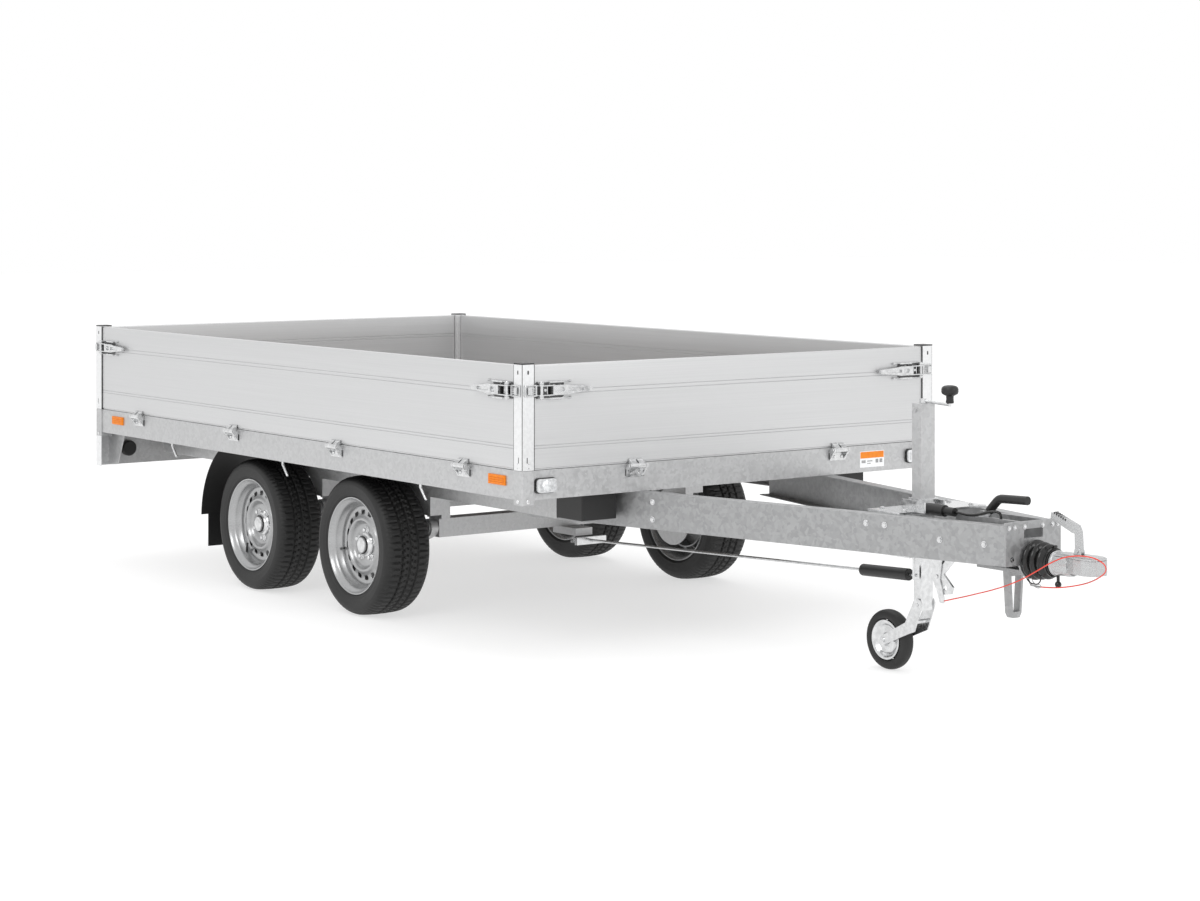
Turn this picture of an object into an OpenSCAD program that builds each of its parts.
// Tandem-axle dropside trailer with an overrun brake.
// +X points forward to the coupling, +Y to the trailer's left, +Z up; the wheels stand on z = 0.
// Lengths along the trailer are given from the front face of the load bed, rearwards negative.

/* [Load bed] */
// Outer length of the load bed
bed_l = 3240; // [2600:10:4200]
// Outer width of the load bed over the corner posts
bed_w = 1900; // [1700:10:2200]
// Height of the load floor above the ground
floor_z = 652; // [620:1:760]
// Thickness of the floor panel
floor_t = 15; // [9:1:21]
// Side of a square corner post
post_w = 50; // [40:1:60]
// Wall of a corner post
post_wall = 3; // [2:0.5:4]
// Height of a post above the boards
post_above = 3.5; // [2:0.5:20]
// How far a post reaches below the rail
post_below = 16; // [0:1:20]
// Thickness of a post cap
cap_t = 4; // [3:0.5:8]

/* [Boards] */
// Height of a drop board
board_h = 355; // [300:5:450]
// Thickness of a drop board
board_t = 25; // [20:1:32]
// Wall of the hollow board extrusion
board_wall = 2; // [1.5:0.1:3]
// Depth of the grooves along a board
groove_d = 1.2; // [0.5:0.1:1.8]
// How far the posts stand proud of the boards
post_proud = 5; // [3:1:9]

/* [Board hinges] */
// Distance of a hinge pin outside the board's face
hinge_out = 22; // [20:1:26]
// Height of a hinge pin below the board's lower edge
hinge_drop = 8.5; // [6:0.5:10]
// Radius of a hinge knuckle
knuckle_r = 9; // [8:0.5:11]
// Radius of a hinge pin
hinge_pin_r = 4; // [3:0.5:5]
// Length of a hinge along its board
hinge_len = 78; // [60:1:100]
// Front board hinges from the centre line
end_hinge_y = 470; // [300:5:600]
// First side hinge behind the bed's front face
side_hinge_a = 359; // [250:1:420]
// Second side hinge behind the bed's front face
side_hinge_b = 1214; // [1000:1:1300]
// Last side hinge ahead of the bed's rear face
side_hinge_d = 409; // [250:1:450]
// Third side hinge ahead of the bed's rear face
side_hinge_c = 1231; // [1000:1:1300]

/* [Latches] */
// Height of a latch above the board's lower edge
latch_h = 269; // [180:1:280]
// Length of a latch lever
lever_l = 214; // [180:1:230]
// Height of a latch lever at its pivot
lever_h = 34; // [30:1:36]
// Distance of a lever's pivot from the board's end
lever_in = 20; // [18:1:30]

/* [Rails and chassis] */
// Height of the galvanised rail round the bed
rail_h = 100; // [80:1:120]
// Flange width of the rail
rail_flange = 38; // [30:1:44]
// Sheet thickness of the rails and cross members
sheet_t = 3; // [2:0.5:4]
// Outer distance of a chassis beam from the centre line
beam_out = 655; // [640:1:658]
// Width of a chassis beam
beam_w = 55; // [45:1:60]
// Height of a chassis beam
beam_h = 103; // [80:1:110]
// Front end of the chassis beams behind the bed's front face
beam_front = 213; // [150:1:300]
// Rear end of the chassis beams ahead of the bed's rear face
beam_rear = 60; // [55:1:300]

/* [Drawbar] */
// Outer distance of an arm from the centre line at the bed's front face
arm_y = 455; // [430:1:480]
// Forward end of the arms ahead of the bed's front face
arm_x = 1435; // [1400:1:1500]
// Outer distance of an arm from the centre line at its forward end
arm_tip_y = 123; // [118:1:128]
// Length of an arm under the bed
arm_back = 520; // [300:10:560]
// Height of a drawbar arm
arm_h = 127; // [110:1:135]
// Flange width of a drawbar arm
arm_flange = 45; // [40:1:48]
// Sheet thickness of a drawbar arm
arm_t = 4; // [3:0.5:5]

/* [Coupling] */
// Height of the draw tube's axis
draw_z = 440; // [430:1:450]
// Radius of the draw tube
draw_r = 30; // [25:0.5:30]
// Overrun travel of the draw tube
overrun = 80; // [50:5:90]
// Rear end of the coupling head ahead of the bed's front face
head_x = 1540; // [1530:1:1550]
// Centre of the ball socket ahead of the bed's front face
ball_x = 1685; // [1670:1:1700]
// Radius of the ball socket
socket_r = 25.4; // [25.1:0.1:25.6]
// Outer radius of the ball cup
cup_r = 44; // [38:1:46]

/* [Running gear] */
// Radius of a tyre
tyre_r = 262.5; // [250:0.5:280]
// Width of a tyre
tyre_w = 196; // [165:1:200]
// Radius of the rim's bead seat
seat_r = 165; // [150:1:178]
// Radius of the rim's flange
flange_r = 184; // [182:1:190]
// Distance of a wheel's middle from the centre line
wheel_y = 772; // [768:1:780]
// Front axle behind the bed's front face
axle_x = 1237; // [1200:1:1300]
// Distance between the axles
axle_gap = 790; // [760:1:850]
// Distance from a swing arm's pivot to its wheel, along X
trail = 165; // [150:1:170]
// Height of the axle tubes' middle
axle_z = 330; // [325:1:335]
// Side of a square axle tube
axle_w = 70; // [64:1:72]
// Radius of the stub axle
stub_r = 20; // [17:0.5:22]

/* [Jockey wheel] */
// Middle of the jockey pillar ahead of the bed's front face
pillar_x = 946; // [940:1:950]
// Size of the pillar along X
pillar_a = 44; // [42:1:46]
// Size of the pillar along Y
pillar_b = 62; // [60:1:64]
// Wall of the pillar
pillar_wall = 4; // [3:0.5:5]
// Height of the pillar's top
pillar_top = 895; // [860:1:920]
// Radius of the jockey wheel
jockey_r = 100; // [95:1:105]
// Width of the jockey wheel's tyre
jockey_w = 50; // [40:1:50]

/* [Hidden] */

// running clearance of a pin in its bore, and the gap between pieces that pass each other
fit = 0.05;
gap = 0.5;
board_gap = 1.5;      // board's lower edge above the rail
end_gap = 2;          // board's end beside the post
eps = 1;              // overlap of a cutting tool past a face

// heights
rail_z = floor_z - rail_h;
beam_top = rail_z + sheet_t;
board_z = floor_z + board_gap;
post_top = board_z + board_h + post_above;
latch_z = board_z + latch_h;
hinge_z = board_z - hinge_drop;
arm_z = rail_z - arm_h;

// latch stand-off from the board's face
plate_t = 4;
pivot_u = 17;
pivot_r = 8.5;
latch_pin_r = 4;
ear_t = 8;
latch_depth = 27;
bar_t = 5;
catch_h = 24;

// the bed's front face in the part's own frame, which puts X = 0 at the middle of the whole length
nose_x = ball_x + cup_r;
bed_x = (bed_l - nose_x + latch_depth - post_proud) / 2;
side_y = bed_w / 2 - post_proud;
end_x = -post_proud;
rear_x = -bed_l + post_proud;

// running gear
wheel_z = tyre_r;
pivot_x = trail;
pin_y = beam_out - 49;
arm_w = 33;
swing_pin_r = 25;
front_axle = -axle_x;
rear_axle = -axle_x - axle_gap;

// jockey fork
fork_pivot_x = pillar_x + 4;
fork_pivot_z = 238;
jockey_x = fork_pivot_x - 165;
fork_pin_r = 6;
leg_gap = 0.5;
leg_a = pillar_a - 2 * pillar_wall - 2 * leg_gap;
leg_b = pillar_b - 2 * pillar_wall - 2 * leg_gap;
leg_top = 760;
pillar_bottom = 400;

// handbrake
brake_pivot_x = 1058;
brake_pivot_z = 345;
brake_y = -40;
brake_t = 8;
brake_pin_r = 7;
brake_tilt = 45.4;
brake_bar_l = 330;
rod_rear = [-900, 0, 252];
rod_front = [990, -66, 342];
rod_r = 5;
cylinder_back = 276;
cylinder_front = 42;
cylinder_r = 20;

// cables, from the bed's front face; a ring of the sweep every few points of the curve
cable_r = 2;
ring_x = 1502;        // where the cable's clip meets the wire ring
cable_route = [[1092, -47, 270], [1140, -50, 283], [1200, -55, 299], [1260, -62, 316], [1320, -70, 333],
    [1400, -78, 359], [1480, -85, 391], [1545, -88, 424], [1600, -90, 453], [1655, -90, 476],
    [1710, -82, 487], [1755, -65, 484], [1776, -50, 466], [1774, -43, 440], [1755, -42, 416],
    [1715, -43, 396], [1650, -42, 381], [1580, -36, 370], [ring_x, -30, 363]];
plug_cable_r = 4.5;
plug_route = [[1196, -100, 571], [1214, -100, 571], [1236, -99, 569], [1258, -96, 568], [1280, -90, 570],
    [1300, -82, 575], [1318, -73, 581], [1334, -64, 584], [1348, -57, 581], [1354, -54, 573],
    [1354, -54, 562.4]];

// hues
zinc = [0.80, 0.81, 0.82];
bright = [0.86, 0.87, 0.88];
alu = [0.83, 0.84, 0.85];
black = [0.06, 0.06, 0.06];
amber = [0.96, 0.55, 0.12];

function along(p, q, d) = p + (q - p) * (d / norm(q - p));
function pick(table, want) = [for (row = table) if (row[0] == want) row][0];

module from_bed() translate([bed_x, 0, 0]) children();
module both_sides() {
    children();
    mirror([0, 1, 0]) children();
}
// a straight round bar between two points
module bar(p, q, r) {
    d = q - p;
    len = norm(d);
    translate(p)
        rotate([0, acos(d[2] / len), atan2(d[1], d[0])])
            cylinder(h = len, r = r, $fn = 48);
}
// an upright plate in the XZ plane, its middle at y
module plate_xz(y, t) translate([0, y + t / 2, 0]) rotate([90, 0, 0]) linear_extrude(t) children();
// a round bar across the trailer from y0 to y1
module cross_pin(x, z, y0, y1, r) translate([x, y1, z]) rotate([90, 0, 0])
    cylinder(h = y1 - y0, r = r, $fn = 64);
// A board edge's own frame: s runs along the board, u outwards from its face, z stays up.
// Sides are listed as name, the turn about Z and the face's distance from the middle of the bed.
module edge_frame(side) {
    if (side == "right") translate([0, -side_y, 0]) mirror([0, 1, 0]) children();
    if (side == "left") translate([0, side_y, 0]) children();
    if (side == "front") translate([end_x, 0, 0]) rotate([0, 0, -90]) children();
    if (side == "rear") translate([rear_x, 0, 0]) rotate([0, 0, 90]) children();
}
side_s0 = -bed_l + post_w + end_gap;
side_s1 = -post_w - end_gap;
end_s = bed_w / 2 - post_w - end_gap;
function board_span(side) = (side == "left" || side == "right") ? [side_s0, side_s1] : [-end_s, end_s];
function hinge_places(side) = (side == "left" || side == "right")
    ? [-side_hinge_a, -side_hinge_b, -bed_l + side_hinge_c, -bed_l + side_hinge_d]
    : [-end_hinge_y, end_hinge_y];

// ---- Load bed ----
module rail(s0, s1) {
    translate([s0, 0, rail_z]) rotate([90, 0, 90]) linear_extrude(s1 - s0)
        difference() {
            translate([-rail_flange, 0]) square([rail_flange, rail_h]);
            translate([-rail_flange - eps, sheet_t])
                square([rail_flange + eps - sheet_t, rail_h - 2 * sheet_t]);
        }
}
module frame_rails() color(zinc) from_bed() {
    for (side = ["left", "right"]) edge_frame(side) rail(-bed_l + post_w, -post_w);
    for (side = ["front", "rear"]) edge_frame(side) rail(-bed_w / 2 + post_w, bed_w / 2 - post_w);
}

module corner(ix, iy) translate([ix ? -post_w : -bed_l, iy ? bed_w / 2 - post_w : -bed_w / 2, 0])
    children();
module corner_posts() color(bright) from_bed()
    for (ix = [0, 1], iy = [0, 1]) corner(ix, iy) {
        difference() {
            translate([0, 0, rail_z - post_below]) cube([post_w, post_w, post_top - rail_z + post_below]);
            translate([post_wall, post_wall, rail_z - post_below - eps])
                cube([post_w - 2 * post_wall, post_w - 2 * post_wall,
                    post_top - rail_z + post_below + 2 * eps]);
        }
        // catches that the latch loops drop over, one on each outer face
        translate([post_w / 2, iy ? post_w : 0, latch_z]) catch(iy ? 0 : 180);
        translate([ix ? post_w : 0, post_w / 2, latch_z]) catch(ix ? -90 : 90);
        // bolt through the post into the rails
        translate([post_w / 2, iy ? post_w : -3, rail_z - 4]) rotate([-90, 0, 0])
            cylinder(h = 3, r = 8, $fn = 32);
        translate([ix ? post_w : -3, post_w / 2, rail_z - 4]) rotate([0, 90, 0])
            cylinder(h = 3, r = 8, $fn = 32);
    }
module catch(turn) rotate([0, 0, turn]) translate([-8, 0, -catch_h / 2]) cube([16, 12, catch_h]);

module post_caps() color(black) from_bed()
    for (ix = [0, 1], iy = [0, 1]) corner(ix, iy) {
        translate([0, 0, post_top]) cube([post_w, post_w, cap_t]);
        translate([post_wall, post_wall, post_top - 12])
            cube([post_w - 2 * post_wall, post_w - 2 * post_wall, 12]);
    }

floor_in = post_proud + rail_flange + gap;
module floor_panel() color([0.24, 0.17, 0.12]) from_bed()
    difference() {
        translate([-bed_l + floor_in, -bed_w / 2 + floor_in, floor_z - floor_t])
            cube([bed_l - 2 * floor_in, bed_w - 2 * floor_in, floor_t]);
        for (ix = [0, 1], iy = [0, 1]) corner(ix, iy)
            translate([-gap, -gap, floor_z - floor_t - eps])
                cube([post_w + 2 * gap, post_w + 2 * gap, floor_t + 2 * eps]);
    }

// ---- Chassis ----
module chassis_beams() color(zinc) from_bed() both_sides()
    translate([-bed_l + beam_rear, beam_out, beam_top - beam_h]) rotate([90, 0, 90])
        linear_extrude(bed_l - beam_rear - beam_front)
            difference() {
                translate([-beam_w, 0]) square([beam_w, beam_h]);
                translate([-beam_w - eps, sheet_t]) square([beam_w + eps - sheet_t, beam_h - 2 * sheet_t]);
            }

member_w = 40;
member_h = rail_h - floor_t - sheet_t;
// full members clear the wheels; the ones over the axles stop at the beams
full_members = [-430, front_axle + 400, rear_axle - 400, -bed_l + 420];
short_members = [front_axle, (front_axle + rear_axle) / 2, rear_axle];
module member(x, half) translate([x, half, beam_top]) rotate([90, 0, 0])
    linear_extrude(2 * half)
        difference() {
            square([member_w, member_h]);
            translate([sheet_t, sheet_t]) square([member_w, member_h - 2 * sheet_t]);
        }
module cross_members() color(zinc) from_bed() {
    for (x = full_members) member(x, side_y - sheet_t);
    for (x = short_members) member(x, beam_out);
}

// ---- Hinges ----
ear_w = 10;
module hinge_brackets() color(bright) from_bed()
    for (side = ["left", "right", "front", "rear"], s = hinge_places(side)) edge_frame(side)
        translate([s, 0, 0]) {
            translate([-hinge_len / 2, 0, hinge_z - 36]) cube([hinge_len, 4, 30]);
            for (e = [-hinge_len / 2, hinge_len / 2 - ear_w])
                translate([e, 0, 0]) rotate([90, 0, 90]) linear_extrude(ear_w) {
                    translate([hinge_out, hinge_z]) circle(r = knuckle_r, $fn = 64);
                    polygon([[0, hinge_z - 36], [4, hinge_z - 36], [hinge_out + 6.5, hinge_z - 6],
                        [hinge_out - 4, hinge_z + 7], [0, hinge_z - 8]]);
                }
            translate([-hinge_len / 2, hinge_out, hinge_z]) rotate([0, 90, 0])
                cylinder(h = hinge_len, r = hinge_pin_r, $fn = 64);
        }
module hinge_strap() {
    half = hinge_len / 2 - ear_w - gap;
    difference() {
        union() {
            translate([-half, hinge_out, hinge_z]) rotate([0, 90, 0])
                cylinder(h = 2 * half, r = knuckle_r, $fn = 64);
            translate([-half, 0, 0]) rotate([90, 0, 90]) linear_extrude(2 * half)
                polygon([[0, board_z + 4], [hinge_out - 6, hinge_z - 3], [hinge_out + 4, hinge_z + 7.5],
                    [8, board_z + 18], [4, board_z + 40], [0, board_z + 40]]);
        }
        translate([-half - eps, hinge_out, hinge_z]) rotate([0, 90, 0])
            cylinder(h = 2 * half + 2 * eps, r = hinge_pin_r + fit, $fn = 64);
    }
}

// ---- Boards ----
groove_z = [72, 82, 255, 268];
module board_outline() {
    difference() {
        translate([-board_t, 0]) square([board_t, board_h]);
        // three hollow cells, parted where the grooves run
        for (c = [[board_wall, 66], [88, 249], [274, board_h - board_wall]])
            translate([-board_t + board_wall, c[0]]) square([board_t - 2 * board_wall, c[1] - c[0]]);
        for (g = groove_z, u = [-board_t, 0])
            translate([u, g]) rotate(45) square(groove_d * 1.41, center = true);
    }
}
module board(side) {
    span = board_span(side);
    edge_frame(side) {
        translate([span[0], 0, board_z]) rotate([90, 0, 90]) linear_extrude(span[1] - span[0])
            board_outline();
        for (s = hinge_places(side)) translate([s, 0, 0]) hinge_strap();
        translate([span[0], 0, 0]) latch_base();
        translate([span[1], 0, 0]) mirror([1, 0, 0]) latch_base();
    }
}
// the latch's fixed half: a plate with two ears and a pin, and the loop that goes over the post's catch
module latch_base() {
    reach = end_gap + post_w / 2 + 8 + 3;
    top = lever_h / 2 + 4;
    translate([5, 0, latch_z - top - ear_t]) cube([92, plate_t, 2 * (top + ear_t)]);
    for (z = [latch_z + top, latch_z - top - ear_t])
        translate([lever_in, 0, z]) {
            translate([0, pivot_u, 0]) cylinder(h = ear_t, r = pivot_r, $fn = 48);
            translate([-pivot_r, 0, 0]) cube([2 * pivot_r, pivot_u, ear_t]);
        }
    translate([lever_in, pivot_u, latch_z - top - ear_t])
        cylinder(h = 2 * (top + ear_t), r = latch_pin_r, $fn = 48);
    // loop: two flat bars past the post's face and the crossbar behind the catch
    for (z = [latch_z + top, latch_z - top - bar_t])
        translate([-reach - bar_t, post_proud + gap, z])
            cube([reach + bar_t + lever_in - pivot_r + 1, bar_t, bar_t]);
    translate([-reach - bar_t, post_proud + gap, latch_z - top]) cube([bar_t, bar_t, 2 * top]);
}
module board_right() color(alu) from_bed() board("right");
module board_left() color(alu) from_bed() board("left");
module board_front() color(alu) from_bed() board("front");
module board_rear() color(alu) from_bed() board("rear");

// the latch's lever, drawn at the low-s end of a board
module lever_shape() {
    boss_h = lever_h + 8 - 2 * gap;
    difference() {
        union() {
            translate([lever_in, pivot_u, latch_z - boss_h / 2])
                cylinder(h = boss_h, r = pivot_r, $fn = 64);
            translate([lever_in, pivot_u + pivot_r, latch_z]) rotate([90, 0, 0]) linear_extrude(12)
                polygon([[0, lever_h / 2], [108, lever_h / 2], [140, lever_h / 2 - 4], [lever_l - 8, 8],
                    [lever_l, 0], [lever_l - 8, -8], [140, -lever_h / 2 + 4], [108, -lever_h / 2],
                    [0, -lever_h / 2]]);
        }
        translate([lever_in, pivot_u, latch_z - boss_h])
            cylinder(h = 2 * boss_h, r = latch_pin_r + fit, $fn = 64);
    }
}
module latch_lever(side, far) color(bright) from_bed() {
    span = board_span(side);
    edge_frame(side)
        if (far) translate([span[1], 0, 0]) mirror([1, 0, 0]) lever_shape();
        else translate([span[0], 0, 0]) lever_shape();
}
module latch_lever_right_front() latch_lever("right", true);
module latch_lever_right_rear() latch_lever("right", false);
module latch_lever_left_front() latch_lever("left", true);
module latch_lever_left_rear() latch_lever("left", false);
module latch_lever_front_left() latch_lever("front", false);
module latch_lever_front_right() latch_lever("front", true);
module latch_lever_rear_left() latch_lever("rear", true);
module latch_lever_rear_right() latch_lever("rear", false);

// ---- Drawbar ----
arm_slope = (arm_y - arm_tip_y) / arm_x;
arm_len = norm([arm_x, arm_y - arm_tip_y]);
arm_turn = atan(arm_slope);
module drawbar_arms() color(zinc) from_bed() both_sides()
    intersection() {
        translate([0, arm_y, arm_z]) rotate([0, 0, -arm_turn])
            translate([-arm_back, 0, 0]) rotate([90, 0, 90])
                linear_extrude(arm_back + arm_len + 20)
                    difference() {
                        translate([-arm_flange, 0]) square([arm_flange, arm_h]);
                        translate([-arm_flange - eps, arm_t])
                            square([arm_flange + eps - arm_t, arm_h - 2 * arm_t]);
                    }
        translate([-arm_back, 0, arm_z - eps]) cube([arm_back + arm_x, arm_y * 2, arm_h + 2 * eps]);
    }

// ---- Overrun device ----
cheek_in = 46;
cheek_t = 16;
sleeve_r = 38;
sleeve_back = 1232;
front_plate_t = 8;
hoop_x = 1342;
module overrun_housing() color(bright) from_bed() {
    difference() {
        union() {
            translate([sleeve_back, 0, draw_z]) rotate([0, 90, 0])
                cylinder(h = arm_x - sleeve_back, r = sleeve_r, $fn = 64);
            both_sides() translate([1160, cheek_in, arm_z + arm_t]) cube([arm_x - 1160, cheek_t, 133]);
            translate([1340, -cheek_in - 1, draw_z + draw_r + 2])
                cube([arm_x - 1340, 2 * cheek_in + 2, 12]);
            translate([1240, -cheek_in - 1, draw_z - draw_r - 12])
                cube([arm_x - 1240, 2 * cheek_in + 2, 10]);
            translate([arm_x, 0, 0]) rotate([90, 0, 90]) linear_extrude(front_plate_t) {
                translate([-arm_tip_y, arm_z]) square([2 * arm_tip_y, arm_h + 10]);
                translate([0, draw_z]) circle(r = 62, $fn = 64);
            }
        }
        translate([sleeve_back - eps, 0, draw_z]) rotate([0, 90, 0])
            cylinder(h = arm_x + front_plate_t - sleeve_back + 2 * eps, r = draw_r + fit, $fn = 96);
        // the front plate's window over the sleeve
        translate([arm_x - eps, 0, arm_z + 98]) rotate([90, 0, 90]) linear_extrude(front_plate_t + 2 * eps)
            square([2 * cheek_in - 8, 30], center = true);
    }
    // feet that bolt the cheeks to the arms
    for (x = [1180, 1340]) both_sides()
        translate([x, cheek_in + cheek_t, arm_z + arm_h / 2 - 20])
            cube([50, arm_y - (x + 50) * arm_slope - arm_t / cos(arm_turn) - cheek_in - cheek_t, 40]);
    // hanging prop loop
    translate([hoop_x, 0, 0]) rotate([90, 0, 90]) linear_extrude(27)
        difference() {
            polygon([[-33, draw_z - draw_r - 12], [33, draw_z - draw_r - 12], [23, 262], [14, 247],
                [-14, 247], [-23, 262]]);
            polygon([[-22, 380], [22, 380], [14, 266], [-14, 266]]);
        }
    // wire ring that holds the breakaway cable's clip
    translate([arm_x, 0, draw_z]) {
        bar([5, -24, -55], [25, -28, -77], 2.5);
        bar([24, -28, -77], [ring_x - arm_x - 0.2, -30, -77], 2.5);
    }
}

tube_back = sleeve_back + 4;
head_sleeve = 70;      // how far the draw tube reaches into the coupling head
module draw_tube() color(zinc) from_bed()
    translate([tube_back, 0, draw_z]) rotate([0, 90, 0])
        difference() {
            cylinder(h = head_x + head_sleeve - tube_back, r = draw_r, $fn = 96);
            translate([0, 0, -eps])
                cylinder(h = head_x + head_sleeve - tube_back + 2 * eps, r = draw_r - 6, $fn = 96);
        }

bellows_front = head_x - gap;
bellows_back = arm_x + front_plate_t;
bellows_crests = [64, 60, 56];
module bellows() color(black) from_bed() {
    full = bellows_front - bellows_back;
    pitch = full / (len(bellows_crests) + 0.4);
    translate([bellows_back, 0, draw_z]) rotate([0, 90, 0]) rotate_extrude($fn = 64)
        polygon(concat([[draw_r + gap, 0], [52, 0]],
            [for (i = [0 : len(bellows_crests) - 1], high = [true, false])
                [bellows_crests[i] - (high ? 0 : 15), (i + (high ? 0.5 : 1)) * pitch]],
            [[draw_r + 12, full], [draw_r + gap, full]]));
}

cup_top = draw_z + 32;
cup_bottom = draw_z - 23;
module coupling_head() color([0.78, 0.79, 0.80]) from_bed() {
    handle_cheeks();
    difference() {
        union() {
            translate([head_x, 0, draw_z]) rotate([0, 90, 0])
                cylinder(h = head_sleeve + 6, r = draw_r + 7, $fn = 64);
            translate([head_x + 30, -28, cup_bottom + 6]) cube([ball_x - head_x - 30, 56, 54]);
            translate([ball_x, 0, cup_bottom]) cylinder(h = cup_top - cup_bottom, r = cup_r, $fn = 64);
            translate([ball_x - 70, -16, cup_top - 6]) cube([44, 32, 12]);
        }
        translate([head_x - eps, 0, draw_z]) rotate([0, 90, 0])
            cylinder(h = head_sleeve + eps, r = draw_r, $fn = 96);
        translate([ball_x, 0, cup_bottom - eps]) cylinder(h = 40 + eps, r = socket_r, $fn = 96);
        translate([ball_x - 76, -9, cup_top - 6 + gap]) cube([60, 18, 20]);
    }
}

handle_x = ball_x - 48;
handle_z = cup_top + 14;
module coupling_handle() color(bright) from_bed() {
    difference() {
        plate_xz(0, 16) {
            translate([handle_x, handle_z]) circle(r = 12, $fn = 48);
            polygon([[handle_x - 12, handle_z], [handle_x + 12, handle_z], [handle_x + 8, 548],
                [handle_x - 14, 560]]);
            polygon([[handle_x + 8, 548], [handle_x - 2, 566], [handle_x - 96, 598], [handle_x - 112, 596],
                [handle_x - 114, 578], [handle_x - 100, 572], [handle_x - 20, 540]]);
        }
        cross_pin(handle_x, handle_z, -20, 20, 5 + fit);
    }
}
// two cheeks and a pin that carry the handle
module handle_cheeks() {
    for (y = [-11, 11]) plate_xz(y, 4) {
        translate([handle_x, handle_z]) circle(r = 11, $fn = 48);
        translate([handle_x - 14, cup_top + 2]) square([28, handle_z - cup_top - 2]);
    }
    cross_pin(handle_x, handle_z, -13, 13, 5);
}

// ---- Handbrake ----
// drawn with the pivot at the origin and the bar along +X, then tilted up
module handbrake_lever() color(bright) from_bed()
    difference() {
        translate([brake_pivot_x, 0, brake_pivot_z]) rotate([0, -brake_tilt, 0])
            plate_xz(brake_y, brake_t) {
            circle(r = 24, $fn = 48);
            polygon([[-30, -52], [8, -80], [30, -70], [26, 16], [-20, 26], [-34, -20]]);
            translate([0, -13]) square([brake_bar_l, 26]);
        }
        cross_pin(brake_pivot_x, brake_pivot_z, brake_y - 20, brake_y + 20, brake_pin_r + fit);
        translate([brake_pivot_x, 0, brake_pivot_z]) rotate([0, -brake_tilt, 0]) {
            cross_pin(0, -48, brake_y - 20, brake_y + 20, 9);
            cross_pin(330, 0, brake_y - 20, brake_y + 20, 6);
        }
    }
grip_path = [[1, 0], [42, 0], [62, -4], [84, -22], [152, -86]];
grip_r = 14;
module handbrake_grip() color(black) from_bed()
    translate([brake_pivot_x, 0, brake_pivot_z]) rotate([0, -brake_tilt, 0]) translate([brake_bar_l, 0, 0])
        swept_tube([for (p = grip_path) [p[0], brake_y, p[1]]], grip_r, 3, 24);

rod_dir = (rod_front - rod_rear) / norm(rod_front - rod_rear);
module brake_rod() color(zinc) from_bed() {
    bar(rod_rear, rod_front, rod_r);
    // equaliser yoke that pulls the brake cables
    translate(rod_rear + [-8, -70, -14]) cube([16, 140, 28]);
    for (y = [-56, 56]) translate(rod_rear + [-40, y - 10, -8]) cube([32, 20, 16]);
}
module spring_cylinder() color(black) from_bed()
    difference() {
        bar(rod_front - cylinder_back * rod_dir, rod_front - cylinder_front * rod_dir, cylinder_r);
        bar(rod_front - (cylinder_back + 2) * rod_dir, rod_front - (cylinder_front - 2) * rod_dir, rod_r);
    }

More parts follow.
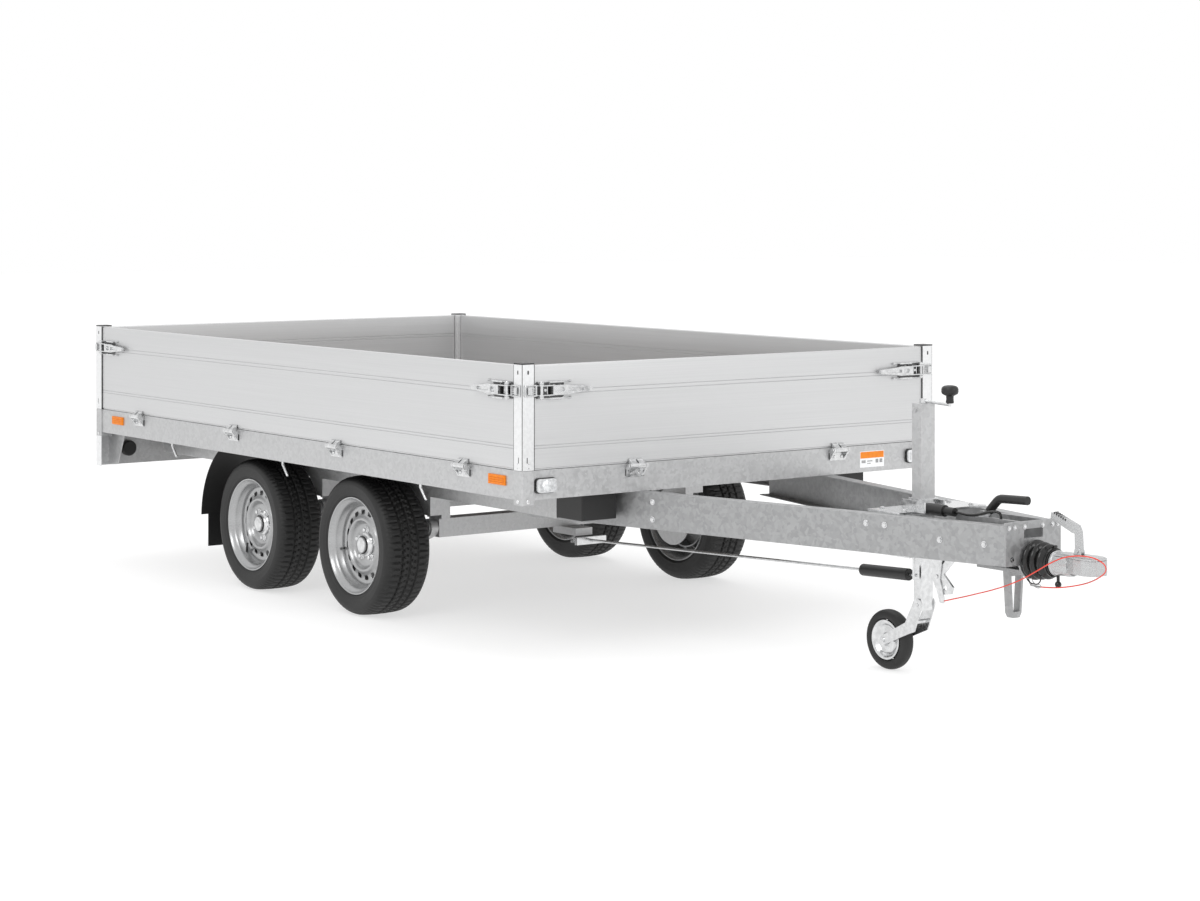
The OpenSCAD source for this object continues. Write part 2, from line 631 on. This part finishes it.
// ---- Jockey wheel ----
module jockey_pillar() color(bright) from_bed() translate([pillar_x, 0, 0]) {
    translate([0, 0, pillar_bottom]) linear_extrude(pillar_top - pillar_bottom)
        difference() {
            square([pillar_a, pillar_b], center = true);
            square([pillar_a - 2 * pillar_wall, pillar_b - 2 * pillar_wall], center = true);
        }
    translate([0, 0, pillar_top]) linear_extrude(4)
        difference() {
            square([pillar_a, pillar_b], center = true);
            circle(r = 9 + fit, $fn = 48);
        }
    translate([-6, -pillar_b / 2, pillar_top - 18]) rotate([90, 0, 0]) cylinder(h = 4, r = 7, $fn = 32);
}
clamp_z = rail_z;
clamp_back = 890;
clamp_front = 1040;
clamp_t = 8;
under_front = 1086;
module jockey_clamp() color(bright) from_bed() {
    // saddle across the tops of the arms, with a collar round the pillar
    difference() {
        union() {
            translate([clamp_back, -196, clamp_z]) cube([clamp_front - clamp_back, 392, clamp_t]);
            translate([pillar_x - pillar_a / 2 - 8, -pillar_b / 2 - 8, clamp_z])
                cube([pillar_a + 16, pillar_b + 16, 36]);
            both_sides() translate([clamp_back, pillar_b / 2 + 8, clamp_z]) cube([110, 6, 30]);
        }
        translate([pillar_x - pillar_a / 2, -pillar_b / 2, clamp_z - eps]) cube([pillar_a, pillar_b, 60]);
    }
    // tie plate under the arms and the two ears of the handbrake's pivot
    difference() {
        translate([clamp_back, -196, arm_z - 6]) cube([under_front - clamp_back, 392, 6]);
        translate([pillar_x - pillar_a / 2, -pillar_b / 2, arm_z - 6 - eps]) cube([pillar_a, pillar_b, 20]);
        translate([pillar_x + 50, brake_y - brake_t / 2 - gap, arm_z - 6 - eps])
            cube([200, brake_t + 2 * gap, 20]);
    }
    for (y = [brake_y - brake_t / 2 - gap - 2, brake_y + brake_t / 2 + gap + 2])
        plate_xz(y, 4) {
            translate([brake_pivot_x, brake_pivot_z]) circle(r = 16, $fn = 48);
            polygon([[brake_pivot_x - 16, brake_pivot_z], [brake_pivot_x + 16, brake_pivot_z],
                [under_front, arm_z - 6], [brake_pivot_x - 34, arm_z - 6]]);
        }
    cross_pin(brake_pivot_x, brake_pivot_z, brake_y - 12, brake_y + 12, brake_pin_r);
    // lug that anchors the breakaway cable, below the outer ear
    plate_xz(brake_y - brake_t / 2 - gap - 2, 4)
        polygon([[brake_pivot_x - 14, brake_pivot_z - 4], [brake_pivot_x + 14, brake_pivot_z - 4],
            [cable_route[0][0] - 0.2, 280], [cable_route[0][0] - 0.2, 262], [cable_route[0][0] - 20, 262]]);
    // parking place of the plug
    translate([clamp_front - 6, plug_y - 20, clamp_z]) cube([48, 40, 5]);
    translate([clamp_front + 36, plug_y - 20, clamp_z]) cube([6, 40, 40]);
    // guide for the brake rod
    difference() {
        translate([rod_front[0] - 14, rod_front[1] - 12, rod_front[2] - 14])
            cube([8, 24, arm_z - 6 - rod_front[2] + 14]);
        bar(rod_front - 30 * rod_dir, rod_front + 20 * rod_dir, rod_r + 0.4);
    }
}
module jockey_leg() color(bright) from_bed() {
    translate([pillar_x - leg_a / 2, -leg_b / 2, fork_pivot_z - 20]) difference() {
        cube([leg_a, leg_b, leg_top - fork_pivot_z + 20]);
        translate([4, 4, 40]) cube([leg_a - 8, leg_b - 8, leg_top]);
    }
    cross_pin(fork_pivot_x, fork_pivot_z, -leg_b / 2 - 8, leg_b / 2 + 8, fork_pin_r);
}
fork_y = leg_b / 2 + gap;
axle_r = 8;
module jockey_fork() color(bright) from_bed() {
    for (side = [-1, 1]) difference() {
        plate_xz(side * (fork_y + 2.5), 5) {
            translate([fork_pivot_x, fork_pivot_z]) circle(r = 20, $fn = 64);
            polygon([[fork_pivot_x - 19, fork_pivot_z + 6], [fork_pivot_x - 58, fork_pivot_z - 66],
                [jockey_x - 8, jockey_r + 13], [jockey_x + 8, jockey_r - 13],
                [fork_pivot_x - 14, fork_pivot_z - 90], [fork_pivot_x + 19, fork_pivot_z - 6]]);
            translate([jockey_x, jockey_r]) circle(r = 15, $fn = 64);
        }
        cross_pin(fork_pivot_x, fork_pivot_z, -60, 60, fork_pin_r + fit);
    }
    cross_pin(jockey_x, jockey_r, -fork_y - 9, fork_y + 9, axle_r);
    // spacer bolt between the two plates
    cross_pin(fork_pivot_x - 20, fork_pivot_z - 60, -fork_y, fork_y, 7);
}
module jockey_rim() color(bright) from_bed() translate([jockey_x, 0, jockey_r]) rotate([90, 0, 0])
    rotate_extrude($fn = 64)
        polygon([[axle_r + fit, -27], [16, -27], [16, -8], [44, -5], [52, -20], [66, -20], [66, 20],
            [52, 20],
            [44, 5], [16, 8], [16, 27], [axle_r + fit, 27]]);
module jockey_tyre() color(black) from_bed() translate([jockey_x, 0, jockey_r]) rotate([90, 0, 0])
    rotate_extrude($fn = 96)
        polygon([[66, -jockey_w / 2 + 6], [76, -jockey_w / 2], [92, -jockey_w / 2 + 4],
            [jockey_r, -jockey_w / 2 + 15],
            [jockey_r, jockey_w / 2 - 15], [92, jockey_w / 2 - 4], [76, jockey_w / 2],
            [66, jockey_w / 2 - 6]]);

crank_z = pillar_top + 4 + gap;
knob_x = pillar_x + 124;
module crank_handle() color(bright) from_bed() {
    translate([pillar_x, 0, pillar_top - 60]) cylinder(h = crank_z + 14 - pillar_top + 60, r = 9, $fn = 48);
    translate([pillar_x, 0, crank_z]) cylinder(h = 14, r = 13, $fn = 48);
    bar([pillar_x, 0, crank_z + 7], [knob_x, 0, crank_z + 1], 5);
    translate([knob_x, 0, crank_z - 4]) cylinder(h = 26, r = 5, $fn = 48);
}
module crank_knob() color(black) from_bed() translate([knob_x, 0, crank_z + 6.5]) rotate_extrude($fn = 64)
    polygon([[5 + fit, 0], [12, 0], [11, 20], [24, 26], [28, 36], [26, 50], [14, 58], [0.2, 59],
        [0.2, 17], [5 + fit, 17]]);

// ---- Running gear ----
wheels = [["front_left", front_axle, 1], ["front_right", front_axle, -1],
    ["rear_left", rear_axle, 1], ["rear_right", rear_axle, -1]];
module at_side(sign) mirror([0, sign > 0 ? 0 : 1, 0]) children();
// a ring or shaft about the wheel's own axis, with a measured outwards from the wheel's middle
module about_wheel(x, sign, z = wheel_z) at_side(sign) translate([x, wheel_y, z]) rotate([-90, 0, 0])
    children();

module axle_tubes() color(zinc) from_bed() for (x = [front_axle, rear_axle])
    translate([x + pivot_x, 0, 0]) {
    translate([-axle_w / 2, -pin_y + gap, axle_z - axle_w / 2]) cube([axle_w, 2 * pin_y - 2 * gap, axle_w]);
    both_sides() {
        // the tube's inner core, on which the swing arm turns
        cross_pin(0, axle_z, pin_y - 4, pin_y + arm_w + 4, swing_pin_r);
        // bracket up to the chassis beam
        translate([-50, pin_y - 40, axle_z + axle_w / 2]) cube([100, 39, 24]);
        translate([-50, pin_y - 40, axle_z + axle_w / 2 + 16])
            cube([100, beam_out - pin_y + 40, beam_top - beam_h - axle_z - axle_w / 2 - 16]);
    }
    // guide of the equaliser on the front axle only
    if (x == front_axle)
        translate([-20, -40, rod_rear[2] + 14 + gap])
            cube([150, 80, axle_z - axle_w / 2 - rod_rear[2] - 14 - gap]);
}
module swing_arm(place) color(zinc) from_bed() {
    w = pick(wheels, place);
    px = w[1] + pivot_x;
    at_side(w[2]) {
        difference() {
            plate_xz(pin_y + arm_w / 2, arm_w - 1) {
                translate([px, axle_z]) circle(r = 34, $fn = 64);
                translate([w[1], wheel_z]) circle(r = 34, $fn = 64);
                polygon([[px - 13, axle_z + 31.4], [px + 13, axle_z - 31.4], [w[1] + 13, wheel_z - 31.4],
                    [w[1] - 13, wheel_z + 31.4]]);
            }
            cross_pin(px, axle_z, pin_y - 10, pin_y + arm_w + 10, swing_pin_r + fit);
        }
        // stub axle and the brake's back plate
        cross_pin(w[1], wheel_z, pin_y + arm_w - 0.5, wheel_y + 50, stub_r);
        difference() {
            cross_pin(w[1], wheel_z, pin_y + arm_w + 24, pin_y + arm_w + 30, 118);
            cross_pin(w[1], wheel_z, pin_y + arm_w + 23, pin_y + arm_w + 31, stub_r - 1);
        }
    }
}
module swing_arm_front_left() swing_arm("front_left");
module swing_arm_front_right() swing_arm("front_right");
module swing_arm_rear_left() swing_arm("rear_left");
module swing_arm_rear_right() swing_arm("rear_right");

rim_half = 84;
disc_a = 34;
bolt_pcd = 112;
module wheel(place) color(bright) from_bed() {
    w = pick(wheels, place);
    about_wheel(w[1], w[2]) {
        rotate_extrude($fn = 96)
            polygon([[seat_r - 5, -rim_half], [flange_r - 3, -rim_half - 5], [flange_r, -rim_half - 2],
                [seat_r + 1, -rim_half + 3], [seat_r, -rim_half + 8], [seat_r, rim_half - 8],
                [seat_r + 1, rim_half - 3],
                [flange_r, rim_half + 2], [flange_r - 3, rim_half + 5], [seat_r - 5, rim_half],
                [seat_r - 6, 72], [112, 52], [70, disc_a + 6], [44, disc_a + 6], [44, disc_a], [72, disc_a],
                [114, 46], [seat_r - 6, 66]]);
        // hub and brake drum
        rotate_extrude($fn = 96)
            polygon([[stub_r + fit, -12], [40, -12], [43, disc_a - 8], [124, disc_a - 8 - 6],
                [124, -44], [132, -44],
                [132, 20], [70, disc_a], [43.5, disc_a], [43.5, disc_a + 12], [36, 51],
                [stub_r + fit, 51]]);
        // grease cap
        translate([0, 0, 51.2]) rotate_extrude($fn = 64)
            polygon([[0, 0], [33, 0], [33, 14], [26, 20], [0, 21]]);
        for (i = [0 : 4]) rotate(i * 72) translate([bolt_pcd / 2, 0, disc_a + 6.1])
            cylinder(h = 14, r = 10, $fn = 6);
    }
}
module wheel_front_left() wheel("front_left");
module wheel_front_right() wheel("front_right");
module wheel_rear_left() wheel("rear_left");
module wheel_rear_right() wheel("rear_right");

module tyre(place) color(black) from_bed() {
    w = pick(wheels, place);
    h = tyre_w / 2;
    about_wheel(w[1], w[2]) rotate_extrude($fn = 96)
        polygon([[seat_r, -rim_half + 8.5], [seat_r + 2, -rim_half + 4], [flange_r - 2, -rim_half - 1],
            [flange_r + 1.5, -rim_half - 2], [flange_r + 6, -h + 3], [215, -h],
            [tyre_r - 18, -h + 8], [tyre_r - 3, -h + 22], [tyre_r, -h + 40], [tyre_r, h - 40],
            [tyre_r - 3, h - 22],
            [tyre_r - 18, h - 8], [215, h], [flange_r + 6, h - 3], [flange_r + 1.5, rim_half + 2],
            [flange_r - 2, rim_half + 1], [seat_r + 2, rim_half - 4], [seat_r, rim_half - 8.5],
            [seat_r + 14, rim_half - 20], [tyre_r - 14, h - 26], [tyre_r - 12, 0], [tyre_r - 14, -h + 26],
            [seat_r + 14, -rim_half + 20]]);
}
module tyre_front_left() tyre("front_left");
module tyre_front_right() tyre("front_right");
module tyre_rear_left() tyre("rear_left");
module tyre_rear_right() tyre("rear_right");

// ---- Cables ----
// a point on the smooth curve through the route, t counted in points
function curve(route, t) =
    let (n = len(route) - 1, i = min(floor(t), n - 1), f = t - i,
        a = route[max(i - 1, 0)], b = route[i], c = route[i + 1], d = route[min(i + 2, n)])
    0.5 * (2 * b + (c - a) * f + (2 * a - 5 * b + 4 * c - d) * f * f + (3 * b - a - 3 * c + d) * f * f * f);
module swept_tube(route, r, steps, sides = 8) {
    count = (len(route) - 1) * steps;
    centres = [for (k = [0 : count]) curve(route, k / steps)];
    rings = [for (k = [0 : count])
        let (t = centres[min(k + 1, count)] - centres[max(k - 1, 0)], d = t / norm(t),
            n1 = cross(d, abs(d[2]) > 0.9 ? [0, 1, 0] : [0, 0, 1]), n = n1 / norm(n1), m = cross(d, n))
        for (a = [0 : sides - 1]) centres[k] + r * (cos(a * 360 / sides) * n + sin(a * 360 / sides) * m)];
    skin = [for (k = [0 : count - 1], a = [0 : sides - 1])
        let (b = (a + 1) % sides) [k * sides + a, k * sides + b, (k + 1) * sides + b, (k + 1) * sides + a]];
    polyhedron(rings, concat([[for (a = [sides - 1 : -1 : 0]) a]], skin,
        [[for (a = [0 : sides - 1]) count * sides + a]]));
}
module breakaway_cable() color([0.86, 0.20, 0.15]) from_bed() swept_tube(cable_route, cable_r, 3);
module plug_cable() color(black) from_bed() swept_tube(plug_route, plug_cable_r, 1);

// ---- Mudguards, lamps and small pieces ----
guard_r = 340;
guard_t = 3;
guard_in = beam_out + 8;
guard_out = 900;
module guard_outline(r) {
    translate([rear_axle, wheel_z]) circle(r = r, $fn = 96);
    translate([front_axle, wheel_z]) circle(r = r, $fn = 96);
    translate([rear_axle, wheel_z]) square([axle_gap, r]);
}
module mudguards() color(black) from_bed() both_sides() {
    translate([0, guard_out, 0]) rotate([90, 0, 0]) linear_extrude(guard_out - guard_in)
        difference() {
            guard_outline(guard_r + guard_t);
            guard_outline(guard_r);
            translate([rear_axle - 600, -400]) square([axle_gap + 1200, wheel_z + 410]);
            translate([front_axle + 200, -400]) square([400, 1200]);
        }
    // spacers up to the floor
    for (x = [front_axle, rear_axle]) translate([x - 20, guard_in + 60, wheel_z + guard_r + guard_t - 0.5])
        cube([40, 60, floor_z - floor_t - wheel_z - guard_r - guard_t + 0.5]);
    // flap behind the rear wheel and the guard's lower lip ahead of the front wheel
    translate([rear_axle - guard_r - guard_t - 4, 676, 140]) cube([4, 190, 150]);
    translate([rear_axle - guard_r - guard_t, 676, wheel_z + 10]) cube([guard_t, 190, 18]);
}

board_plate_z = 405;
lamp_y = 800;
lamp_z = 470;
module rear_light_board() color(zinc) from_bed() {
    difference() {
        translate([-bed_l, -side_y, board_plate_z])
            cube([3, 2 * side_y, rail_z - post_below - gap - board_plate_z]);
        both_sides() translate([-bed_l - eps, lamp_y, lamp_z]) rotate([0, 90, 0])
            cylinder(h = 5, r = 20 + gap, $fn = 48);
    }
    translate([-bed_l + 3, -bed_w / 2 + post_w + 4, rail_z - 22]) cube([30, bed_w - 2 * post_w - 8, 22]);
    translate([-bed_l, -bed_w / 2 + post_w + 4, rail_z - 40]) cube([3, bed_w - 2 * post_w - 8, 40]);
    both_sides() translate([0, side_y - post_w - 4, 0]) rotate([90, 0, 0]) linear_extrude(3)
        polygon([[-bed_l + 3, board_plate_z], [-bed_l + 92, board_plate_z + 8], [-bed_l + 158, rail_z],
            [-bed_l + 3, rail_z]]);
}
lamp_t = 22;
module rear_lamps() color([0.75, 0.08, 0.06]) from_bed() both_sides() {
    translate([-bed_l - lamp_t, lamp_y - 110, lamp_z - 45]) cube([lamp_t, 220, 95]);
    // back of the lamp inside the light board
    translate([-bed_l + 3, lamp_y, lamp_z]) rotate([0, 90, 0]) cylinder(h = 24, r = 34, $fn = 48);
    translate([-bed_l, lamp_y, lamp_z]) rotate([0, 90, 0]) cylinder(h = 3, r = 20, $fn = 48);
}
module side_reflectors() color(amber) from_bed() both_sides()
    for (x = [-204, -bed_l + 154]) translate([x, side_y, rail_z + 44]) cube([102, 8, 34]);
module marker_lamps() color([0.92, 0.93, 0.94]) from_bed() both_sides()
    translate([end_x, 812, rail_z + 22]) cube([25, 84, 52]);

plug_y = -100;
plug_z = 571;
module trailer_plug() color(black) from_bed() translate([1082, plug_y, plug_z]) rotate([0, 90, 0]) {
    cylinder(h = 70, r = 19, $fn = 48);
    translate([0, 0, 70]) cylinder(h = 44, r = 14, $fn = 48);
}
module wheel_chocks() color(black) from_bed() both_sides()
    translate([-beam_front + gap, beam_out - 150, beam_top - beam_h + 4]) cube([150, 150, beam_h - 10]);
module rope_hooks() color(bright) from_bed() both_sides()
    for (x = [-660, -1645, -bed_l + 677]) {
        bar([x, side_y - 14, rail_z], [x, side_y - 14, rail_z - 14], 5);
        bar([x, side_y - 14, rail_z - 10], [x + 36, side_y - 14, rail_z - 52], 5);
    }

frame_rails();
chassis_beams();
cross_members();
floor_panel();
corner_posts();
post_caps();
hinge_brackets();
board_front();
board_rear();
board_left();
board_right();
latch_lever_front_left();
latch_lever_front_right();
latch_lever_rear_left();
latch_lever_rear_right();
latch_lever_left_front();
latch_lever_left_rear();
latch_lever_right_front();
latch_lever_right_rear();
drawbar_arms();
overrun_housing();
draw_tube();
coupling_head();
coupling_handle();
bellows();
handbrake_lever();
handbrake_grip();
spring_cylinder();
brake_rod();
jockey_pillar();
jockey_clamp();
jockey_leg();
jockey_fork();
jockey_rim();
jockey_tyre();
crank_handle();
crank_knob();
axle_tubes();
swing_arm_front_left();
swing_arm_front_right();
swing_arm_rear_left();
swing_arm_rear_right();
wheel_front_left();
wheel_front_right();
wheel_rear_left();
wheel_rear_right();
tyre_front_left();
tyre_front_right();
tyre_rear_left();
tyre_rear_right();
mudguards();
rear_light_board();
rear_lamps();
side_reflectors();
marker_lamps();
trailer_plug();
plug_cable();
breakaway_cable();
wheel_chocks();
rope_hooks();
